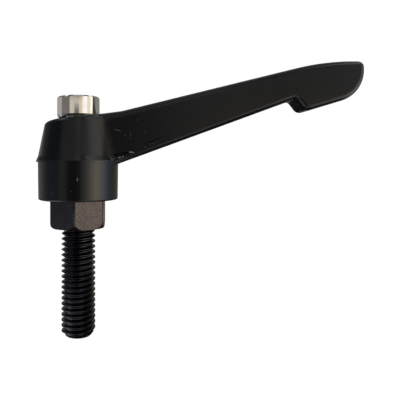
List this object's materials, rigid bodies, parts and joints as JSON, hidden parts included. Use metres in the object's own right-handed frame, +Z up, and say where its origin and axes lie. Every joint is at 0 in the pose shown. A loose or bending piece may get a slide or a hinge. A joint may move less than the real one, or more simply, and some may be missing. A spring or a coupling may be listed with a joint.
{
  "type": "adjustable clamping lever",
  "caption": "Black cast lever handle, sprung down on to a toothed steel insert with a threaded stud, so that it can be lifted and turned to another angle.",
  "frame": {"origin": "on the stud's axis, at the underside of the hexagon collar, where the lever seats", "axes": "+Z up along the stud's axis towards the screw's head, +X along the arm towards the grip, -Z out of the stud's free end"},
  "size_m": [0.0751, 0.0194, 0.0632],
  "materials": {
    "powder_coat": "satin black powder coat over cast zinc",
    "black_oxide_steel": "black oxide, lightly oiled",
    "nickel_plate": "polished nickel plate",
    "spring_steel": "bare drawn wire"
  },
  "bodies": {
    "insert": {"stud_insert": "black_oxide_steel", "retaining_screw": "nickel_plate"},
    "spring": {"spring": "spring_steel"},
    "handle": {"handle": "powder_coat"}
  },
  "joints": [
    {"name": "handle_turn", "type": "hinge", "parent": "insert", "child": "spring", "pos_m": [0, 0, 0.0141], "axis": [0, 0, 1], "continuous": true},
    {"name": "handle_lift", "type": "slide", "parent": "spring", "child": "handle", "axis": [0, 0, 1], "range_m": [0, 0.004], "stiffness_N_per_m": 2000, "springref_m": -0.003, "deforming": ["spring"]}
  ]
}
